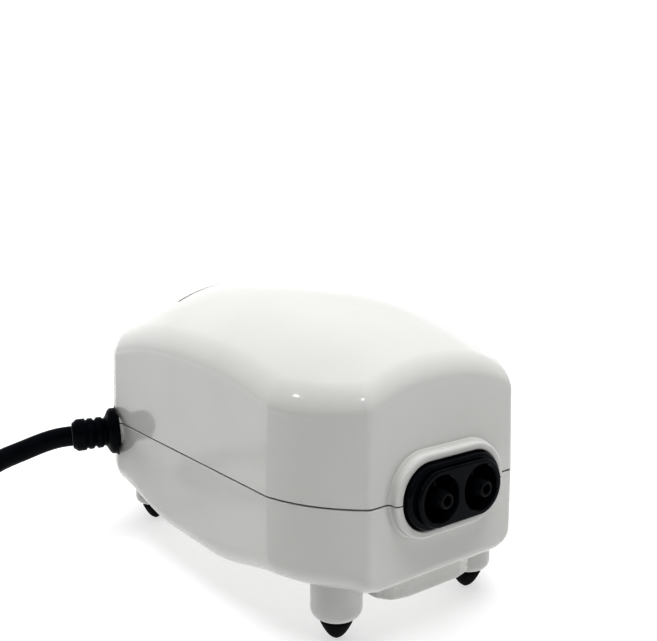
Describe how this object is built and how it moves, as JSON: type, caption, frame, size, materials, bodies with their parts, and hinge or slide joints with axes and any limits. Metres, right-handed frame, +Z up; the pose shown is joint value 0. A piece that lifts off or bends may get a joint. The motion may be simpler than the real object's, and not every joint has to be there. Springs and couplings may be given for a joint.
{
  "type": "aquarium air pump",
  "caption": "White desktop aquarium air pump with domed case on rubber-tipped legs, twin barbed air outlets in a black stepped block, and a black mains lead.",
  "frame": {"origin": "on the ground under the middle of the pump, with its lead, gland and plug left out", "axes": "+Z up, outlets towards -Y, lead leaves towards -X near the rear"},
  "size_m": [0.2026, 0.1935, 0.0824],
  "materials": {
    "case_white": "glossy moulded white plastic",
    "outlet_black": "semi-gloss black plastic",
    "rubber_black": "matt black rubber",
    "cable_black": "satin black cable sheath",
    "plug_black": "satin black moulded plug",
    "frame_grey": "matt grey moulded plastic",
    "nylon": "natural nylon",
    "steel": "zinc-plated steel",
    "pin_brass": "nickel-plated brass pins",
    "lamination": "stacked transformer steel",
    "copper": "enamelled copper wire",
    "ferrite": "sintered ferrite",
    "silicone": "translucent silicone tube",
    "felt": "white filter felt",
    "wire_brown": "brown wire insulation",
    "wire_blue": "blue wire insulation"
  },
  "bodies": {
    "pump_body": {"top_cover": "case_white", "bottom_shell": "case_white", "base_plate": "case_white", "filter_felt": "felt", "outlet_block": "outlet_black", "nozzle_left": "outlet_black", "nozzle_right": "outlet_black", "foot_front_left": "rubber_black", "foot_front_right": "rubber_black", "foot_rear_left": "rubber_black", "foot_rear_right": "rubber_black", "cable_gland": "rubber_black", "diaphragm_left": "rubber_black", "diaphragm_right": "rubber_black", "intake_flap_left": "rubber_black", "intake_flap_right": "rubber_black", "outlet_flap_left": "rubber_black", "outlet_flap_right": "rubber_black", "case_screw_front_left": "steel", "case_screw_front_right": "steel", "case_screw_rear_left": "steel", "case_screw_rear_right": "steel", "core_screw_front": "steel", "core_screw_rear": "steel", "pivot_pin_left": "steel", "pivot_pin_right": "steel", "cord_run": "cable_black", "cord_coil": "cable_black", "cord_tail": "cable_black", "coil_tie": "plug_black", "plug_body": "plug_black", "plug_pin_left": "pin_brass", "plug_pin_right": "pin_brass", "cord_clamp": "frame_grey", "pump_chamber_left": "frame_grey", "pump_chamber_right": "frame_grey", "clamp_ring_left": "frame_grey", "clamp_ring_right": "frame_grey", "bobbin_left": "nylon", "bobbin_right": "nylon", "winding_left": "copper", "winding_right": "copper", "magnet_core": "lamination", "air_tube_left": "silicone", "air_tube_right": "silicone", "live_wire": "wire_brown", "neutral_wire": "wire_blue"},
    "arm_left": {"swing_arm_left": "frame_grey", "arm_magnet_left": "ferrite", "piston_left": "steel"},
    "arm_right": {"swing_arm_right": "frame_grey", "arm_magnet_right": "ferrite", "piston_right": "steel"}
  },
  "joints": [
    {"name": "arm_left_swing", "type": "hinge", "parent": "pump_body", "child": "arm_left", "pos_m": [-0.0225, -0.0364, 0.033], "axis": [0, 0, 1], "range_deg": [-1.3, 1.3], "stiffness_Nm_per_rad": 1, "deforming": ["diaphragm_left"]},
    {"name": "arm_right_swing", "type": "hinge", "parent": "pump_body", "child": "arm_right", "pos_m": [0.0225, -0.0364, 0.033], "axis": [0, 0, 1], "range_deg": [-1.3, 1.3], "stiffness_Nm_per_rad": 1, "deforming": ["diaphragm_right"]}
  ],
  "couplings": [
    {"joint": "arm_right_swing", "follows": "arm_left_swing", "ratio": -1}
  ]
}
